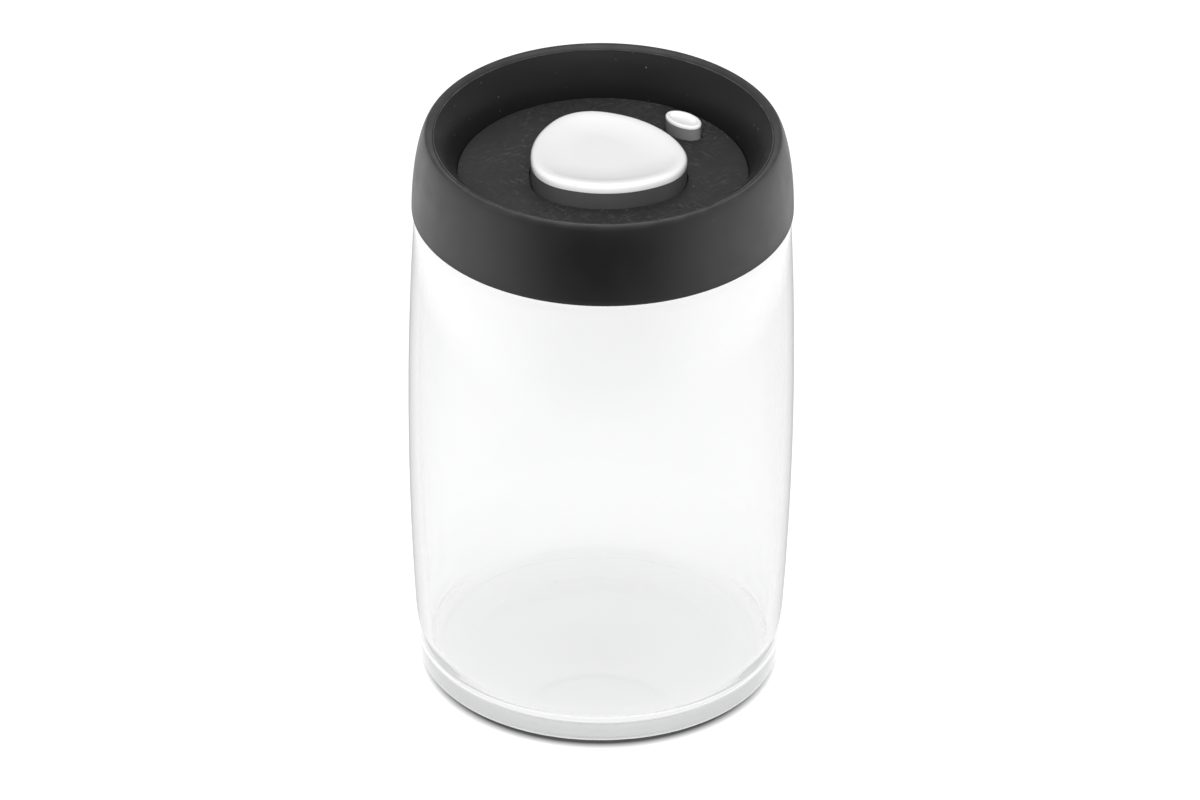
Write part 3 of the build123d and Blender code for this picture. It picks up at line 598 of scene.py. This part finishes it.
def buildPumpCap():
    s = pumpCap
    piece = startCircle("pumpCap", s["points"], s["start"] * mm, (0, 0, 0), "NGON")
    shapeOutline(piece, buttonOutline(s["points"]), s["base"])
    return raiseCap(piece, s)


pumpTop = buildPumpCap()
dress(pumpTop, makeFinish("whitePlastic", pumpCap["finish"]))
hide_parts("button_cap")
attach(pumpTop, "pump_button")
print("pump cap done")


releaseTop = {
    "sides": 96, "reach": 34.1, "angle": 45.0, "turn": 6.0, "length": 6.25, "width": 3.8,
    "base": 172.7, "height": 1.1, "round": 0.6, "roundSteps": 6, "foot": 0.1, "smoothAngle": 50,
    "border": 0.3, "dishRun": 1.0, "dishDepth": 0.95, "dishSteps": 8, "dishSteep": 0.5,
}


def buildReleaseTop():
    s = releaseTop
    angle = math.radians(s["angle"])
    place = (s["reach"] * math.cos(angle) * mm, s["reach"] * math.sin(angle) * mm, s["base"] * mm)
    heading = angle + math.radians(s["turn"]) - math.pi / 2
    piece = startCircle("releaseCap", s["sides"], s["length"] * mm, place, "NGON", heading)
    piece.scale = (1, s["width"] / s["length"], 1)
    bpy.ops.object.transform_apply(location=True, rotation=True, scale=True)
    edit(piece)
    return raiseCap(piece, s)


releaseCap = buildReleaseTop()
dress(releaseCap, bpy.data.materials["whitePlastic"])
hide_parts("release_cap")
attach(releaseCap, "release_button")
print("release cap done")


# Finishes of the pieces that keep their own shape
keptFinishes = {
    "platePlastic": (["top_plate"], {
        "colour": (0.020, 0.020, 0.0207), "secondColour": (0.026, 0.026, 0.0268), "patchScale": 55.0,
        "grainScale": 1500.0, "grainStrength": 0.35, "grainDepth": 0.09, "roughness": (0.5, 0.62),
        "specular": 0.35,
        "scratches": [
            {"scale": 1100.0, "stretch": (0.3, 1, 1), "turn": 38, "from": 0.55,
             "gather": 30.0, "strength": 0.75, "colour": (0.055, 0.055, 0.057)},
            {"scale": 900.0, "stretch": (0.2, 1, 1), "turn": -48, "from": 0.59,
             "gather": 45.0, "strength": 0.8, "colour": (0.08, 0.08, 0.082)},
            {"scale": 1300.0, "stretch": (0.6, 1, 1), "turn": -30, "from": 0.52,
             "gather": 22.0, "strength": 0.8, "colour": (0.008, 0.008, 0.008)},
        ],
        "dust": {"scale": 330.0, "size": 0.085, "gather": 60.0, "strength": 0.8, "colour": (0.4, 0.4, 0.4)},
    }),
    "releaseGrey": (["release_stem"], {
        "colour": (0.17, 0.17, 0.174), "secondColour": (0.19, 0.19, 0.194), "patchScale": 60.0,
        "grainScale": 2200.0, "grainStrength": 0.12, "grainDepth": 0.05,
        "roughness": (0.36, 0.45), "specular": 0.4,
    }),
    "greyPlastic": (["button_skirt"], {
        "colour": (0.072, 0.072, 0.074), "secondColour": (0.082, 0.082, 0.084), "patchScale": 60.0,
        "grainScale": 2200.0, "grainStrength": 0.12, "grainDepth": 0.05,
        "roughness": (0.36, 0.45), "specular": 0.5,
    }),
    "basePlastic": (["lid_base", "pump_cylinder", "filter_cover"], {
        "colour": (0.66, 0.66, 0.65), "secondColour": (0.72, 0.72, 0.71), "patchScale": 50.0,
        "grainScale": 2000.0, "grainStrength": 0.15, "grainDepth": 0.05,
        "roughness": (0.35, 0.45), "specular": 0.45,
    }),
    "siliconeClear": (["rim_gasket", "inlet_valve", "exhaust_valve", "release_plug"], {
        "colour": (0.66, 0.67, 0.66), "secondColour": (0.72, 0.72, 0.71), "patchScale": 70.0,
        "grainScale": 1400.0, "grainStrength": 0.08, "grainDepth": 0.04,
        "roughness": (0.42, 0.55), "soft": 0.25,
    }),
    "blackRubber": (["cylinder_o_ring", "piston_seal"], {
        "colour": (0.012, 0.012, 0.012), "secondColour": (0.02, 0.02, 0.02), "patchScale": 80.0,
        "grainScale": 1800.0, "grainStrength": 0.15, "grainDepth": 0.04,
        "roughness": (0.5, 0.65), "sheen": 0.1,
    }),
    "pistonPlastic": (["piston"], {
        "colour": (0.55, 0.55, 0.53), "secondColour": (0.61, 0.61, 0.59), "patchScale": 60.0,
        "grainScale": 1500.0, "grainStrength": 0.1, "grainDepth": 0.04, "roughness": (0.35, 0.45),
    }),
    "feltFibre": (["filter_pad"], {
        "colour": (0.62, 0.61, 0.57), "secondColour": (0.74, 0.73, 0.69), "patchScale": 260.0,
        "grainScale": 1600.0, "grainStretch": (1, 1, 0.3), "grainStrength": 0.8, "grainDepth": 0.2,
        "roughness": (0.85, 0.98), "sheen": 0.4,
    }),
    "springSteel": (["pump_spring", "release_spring"], {
        "colour": (0.52, 0.52, 0.53), "secondColour": (0.60, 0.60, 0.61), "patchScale": 120.0,
        "grainScale": 3000.0, "grainStrength": 0.1, "grainDepth": 0.02,
        "roughness": (0.22, 0.34), "metallic": 1.0,
    }),
    "screwZinc": (["piston_screw"], {
        "colour": (0.48, 0.48, 0.5), "secondColour": (0.58, 0.58, 0.59), "patchScale": 200.0,
        "grainScale": 3000.0, "grainStrength": 0.1, "grainDepth": 0.02,
        "roughness": (0.28, 0.4), "metallic": 1.0,
    }),
}

for finishName, (members, finish) in keptFinishes.items():
    mat = makeFinish(finishName, finish)
    for member in members:
        dress(nodes[member], mat)
print("finishes done")


# The two return springs: open coils, drawn at rest.
springs = {
    "pumpSpring": {
        "node": "pump_spring", "joint": "pump_press", "centre": (0, 0), "radius": 17.76, "wire": 1.3,
        "turns": 4.5, "low": 158.61, "high": 171.99, "seat": 157.9, "stop": 172.7, "travel": 7.0,
    },
    "releaseSpring": {
        "node": "release_spring", "joint": "release_press", "centre": (24.112, 24.112), "radius": 3.0,
        "wire": 0.5, "turns": 5, "low": 159.81, "high": 165.39, "seat": 159.5, "stop": 165.7, "travel": 2.5,
    },
}
coil = {"turnSteps": 36, "wireSteps": 2, "smoothAngle": 60}  # how finely both are drawn


def buildSpring(name, s):
    objectMode()
    line = bpy.data.curves.new(name, "CURVE")
    line.dimensions = "3D"
    line.bevel_depth = s["wire"] / 2 * mm
    line.bevel_resolution = coil["wireSteps"]
    line.use_fill_caps = True
    steps = round(s["turns"] * coil["turnSteps"])
    path = line.splines.new("POLY")
    path.points.add(steps)
    for i, point in enumerate(path.points):
        angle = math.tau * i / coil["turnSteps"]
        x = s["centre"][0] + s["radius"] * math.cos(angle)
        y = s["centre"][1] + s["radius"] * math.sin(angle)
        z = s["low"] + (s["high"] - s["low"]) * i / steps
        point.co = (x * mm, y * mm, z * mm, 1)
    piece = bpy.data.objects.new(name, line)
    bpy.context.scene.collection.objects.link(piece)
    piece.select_set(True)
    bpy.context.view_layer.objects.active = piece
    bpy.ops.object.convert(target="MESH")
    edit(piece)
    return finishPiece(piece, coil["smoothAngle"])


for springName, spring in springs.items():
    wire = buildSpring(springName, spring)
    dress(wire, bpy.data.materials["springSteel"])
    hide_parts(spring["node"])
    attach(wire, "lid")
    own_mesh(wire)
print("springs done")


# The photograph's view: distance in metres, width seen at the aim and the aim in millimetres
cameraView = {
    "elevation": 31.5, "distance": 8.0, "width": 362.5, "aim": (-0.3, 0, 88.8), "roll": 0.5, "sensor": 36.0,
    "farthest": 50,
}
tilt = math.radians(cameraView["elevation"])
aim = Vector(cameraView["aim"]) * mm
back = Vector((0, -math.cos(tilt), math.sin(tilt)))
objectMode()
bpy.ops.object.camera_add(location=aim + back * cameraView["distance"])
camera = bpy.context.active_object
camera.rotation_euler = (-back).to_track_quat("-Z", "Y").to_euler()
camera.rotation_euler.rotate_axis("Z", math.radians(cameraView["roll"]))
camera.data.sensor_width = cameraView["sensor"]
camera.data.lens = cameraView["sensor"] * cameraView["distance"] / (cameraView["width"] * mm)
camera.data.clip_end = cameraView["farthest"]
bpy.context.scene.camera = camera

# Lifts are light that a surface adds of its own, and tones are brightness by angle from the front
studio = {
    "floorSize": 12.0, "floorDrop": 0.1, "floorColour": (0.86, 0.86, 0.86), "floorLift": 0.46,
    # The contact values place a ring of painted contact shadow on the floor; the disc values place a painted
    # shade under the jar.
    "worldLight": 0.42, "contact": 50.6, "contactShift": -2.6, "contactWidth": 4.2, "paintedShadowDark": 0.9,
    "throughLift": 0.34, "paintedDiscShade": 0.09, "disc": 46.0,
    "surround": {
        "sides": 96, "rings": [(62, 1), (400, 1), (1300, 1), (1300, 450), (1300, 900), (820, 1500)],
        "lowest": 60, "highest": 800, "nearEnd": 262, "farStart": 298, "laterFrom": 1.5,
        # Near ring tones: a painted shadow of the jar on the floor around it.
        "nearShadowTones": [(0, 0.66), (60, 0.72), (95, 0.68), (120, 0.58), (150, 0.42), (180, 0.38)],
        "lowTones": [
            (0, 0.0), (14, 0.02), (22, 0.1), (30, 0.34), (38, 0.55), (46, 0.85), (54, 1.1), (62, 1.3),
            (75, 1.5), (100, 1.5), (125, 1.4), (150, 1.0), (180, 0.85),
        ],
        "highTones": [(0, 0.3), (30, 0.42), (60, 0.7), (90, 0.8), (120, 0.75), (150, 0.65), (180, 0.6)],
    },
    "lamps": [
        {"name": "topPanel", "place": (0.0, -0.1, 1.5), "size": 1.2, "power": 4.4, "glossy": True},
        {"name": "frontPanel", "place": (-0.05, -1.5, 1.0), "size": 1.0, "power": 27.0, "glossy": False},
    ],
}


# Share that is 1 for rays that see the background: straight on, in a reflection or through the glass.
def backgroundRay(tree):
    rays = tree.nodes.new("ShaderNodeLightPath")
    total = rays.outputs["Is Camera Ray"]
    for name in ("Is Glossy Ray", "Is Transmission Ray"):
        join = tree.nodes.new("ShaderNodeMath")
        join.operation = "MAXIMUM"
        tree.links.new(total, join.inputs[0])
        tree.links.new(rays.outputs[name], join.inputs[1])
        total = join.outputs[0]
    return total


# Tones by angle as a colour ramp, read by a share that is 1 at the last angle.
def toneRamp(mat, share, tones):
    ramp = addNode(mat, "ShaderNodeValToRGB")
    peak = max(tone for angle, tone in tones)
    stops = ramp.color_ramp.elements
    while len(stops) < len(tones):
        stops.new(0.5)
    for stop, (angle, tone) in zip(stops, tones):
        stop.position = angle / tones[-1][0]
        stop.color = (tone / peak, tone / peak, tone / peak, 1)
    link(mat, share, ramp.inputs["Fac"])
    return calc(mat, "MULTIPLY", ramp.outputs["Color"], peak)


# The soft surround that only reflections show: dim at the front, bright at the sides, softer behind.
# A ray that has bounced or crossed glass before sees it plain white.
def buildSurround():
    s = studio["surround"]
    piece = turned("surround", s["sides"], s["rings"], False)
    objectMode()
    mat = bpy.data.materials.new("surroundTone")
    mat.use_nodes = True
    tree = mat.node_tree
    tree.nodes.clear()
    coords = addNode(mat, "ShaderNodeTexCoord").outputs["Object"]
    split = addNode(mat, "ShaderNodeSeparateXYZ")
    link(mat, coords, split.inputs[0])
    side = calc(mat, "ABSOLUTE", split.outputs["X"], 0.0)
    turn = calc(mat, "ARCTAN2", side, calc(mat, "MULTIPLY", split.outputs["Y"], -1.0))
    turn = calc(mat, "DIVIDE", turn, math.pi)
    out = remap(mat, reach(mat, coords), s["nearEnd"] * mm, s["farStart"] * mm, 0.0, 1.0)
    rise = remap(mat, split.outputs["Z"], s["lowest"] * mm, s["highest"] * mm, 0.0, 1.0)
    depth = addNode(mat, "ShaderNodeLightPath").outputs["Ray Depth"]
    later = calc(mat, "GREATER_THAN", depth, s["laterFrom"])
    # The near ring's dimmer tones are a painted shadow of the jar on the floor, as reflections see it.
    tone = toneRamp(mat, turn, s["nearShadowTones"])
    for share, other in (
        (out, toneRamp(mat, turn, s["lowTones"])), (rise, toneRamp(mat, turn, s["highTones"])), (later, 1.0)
    ):
        tone = calc(mat, "ADD", tone, calc(mat, "MULTIPLY", calc(mat, "SUBTRACT", other, tone), share))
    glow = addNode(mat, "ShaderNodeEmission")
    link(mat, tone, glow.inputs["Strength"])
    link(mat, glow.outputs[0], addNode(mat, "ShaderNodeOutputMaterial").inputs["Surface"])
    dress(piece, mat)
    piece.visible_camera = False
    piece.visible_diffuse = False
    piece.visible_transmission = False
    piece.visible_shadow = False


# Pale floor, surround, two soft lamps and an even sky. The floor carries a painted contact shadow around the
# jar's foot, reaching further in front, on top of the shadows the lamps cast.
def buildStudio():
    s = studio
    objectMode()
    bpy.ops.mesh.primitive_plane_add(size=s["floorSize"], location=(0, 0, -s["floorDrop"] * mm))
    floor = bpy.context.active_object
    floor.name = "floor"
    mat = bpy.data.materials.new("paleFloor")
    mat.use_nodes = True
    tree = mat.node_tree
    tree.nodes.clear()
    output = tree.nodes.new("ShaderNodeOutputMaterial")
    matte = tree.nodes.new("ShaderNodeBsdfDiffuse")
    glow = tree.nodes.new("ShaderNodeEmission")
    shifted = addNode(mat, "ShaderNodeVectorMath", operation="SUBTRACT")
    shifted.inputs[1].default_value = (0, s["contactShift"] * mm, 0)
    coords = addNode(mat, "ShaderNodeTexCoord").outputs["Object"]
    link(mat, coords, shifted.inputs[0])
    # Painted contact shadow: for camera rays the floor darkens and loses its glow in a ring around the jar's
    # foot.
    apart = calc(mat, "SUBTRACT", reach(mat, shifted.outputs["Vector"]), s["contact"] * mm)
    paintedShadow = remap(mat, apart, 0.0, s["contactWidth"] * mm, 1.0, 0.0)
    rays = addNode(mat, "ShaderNodeLightPath")
    paintedShadow = calc(mat, "MULTIPLY", paintedShadow, rays.outputs["Is Camera Ray"])
    lift = calc(mat, "MULTIPLY", calc(mat, "SUBTRACT", 1.0, paintedShadow), s["floorLift"])
    # Painted shade: rays through the glass see the floor glow less in a soft disc under the jar.
    paintedShadeDisc = ringMask(mat, shifted.outputs["Vector"], 0.0, 0.0, s["disc"])
    through = calc(mat, "SUBTRACT", s["throughLift"], calc(mat, "MULTIPLY", paintedShadeDisc, s["paintedDiscShade"]))
    swing = calc(mat, "MULTIPLY", calc(mat, "SUBTRACT", through, lift), rays.outputs["Is Transmission Ray"])
    strength = calc(mat, "MULTIPLY", backgroundRay(tree), calc(mat, "ADD", lift, swing))
    link(mat, strength, glow.inputs["Strength"])
    paintedDark = calc(mat, "MULTIPLY", paintedShadow, s["paintedShadowDark"])
    link(mat, blendColour(mat, paintedDark, s["floorColour"], (0.0, 0.0, 0.0)), matte.inputs["Color"])
    join = tree.nodes.new("ShaderNodeAddShader")
    tree.links.new(matte.outputs[0], join.inputs[0])
    tree.links.new(glow.outputs[0], join.inputs[1])
    tree.links.new(join.outputs[0], output.inputs["Surface"])
    floor.data.materials.append(mat)
    buildSurround()
    for lamp in s["lamps"]:
        place = Vector(lamp["place"])
        bpy.ops.object.light_add(type="AREA", location=place)
        light = bpy.context.active_object
        light.name = lamp["name"]
        light.data.size = lamp["size"]
        light.data.energy = lamp["power"]
        light.rotation_mode = "QUATERNION"
        light.rotation_quaternion = (aim - place).to_track_quat("-Z", "Y")
        light.visible_glossy = lamp["glossy"]
        light.visible_camera = False
        light.visible_transmission = False
    world = bpy.data.worlds.new("paleStudio")
    bpy.context.scene.world = world
    world.use_nodes = True
    tree = world.node_tree
    sky = tree.nodes["Background"]
    sky.inputs["Color"].default_value = (1, 1, 1, 1)
    strength = tree.nodes.new("ShaderNodeMapRange")
    strength.inputs["To Min"].default_value = s["worldLight"]
    strength.inputs["To Max"].default_value = 1.0
    tree.links.new(backgroundRay(tree), strength.inputs["Value"])
    tree.links.new(strength.outputs["Result"], sky.inputs["Strength"])


buildStudio()
bpy.context.scene.view_settings.view_transform = "Standard"
print("studio done")
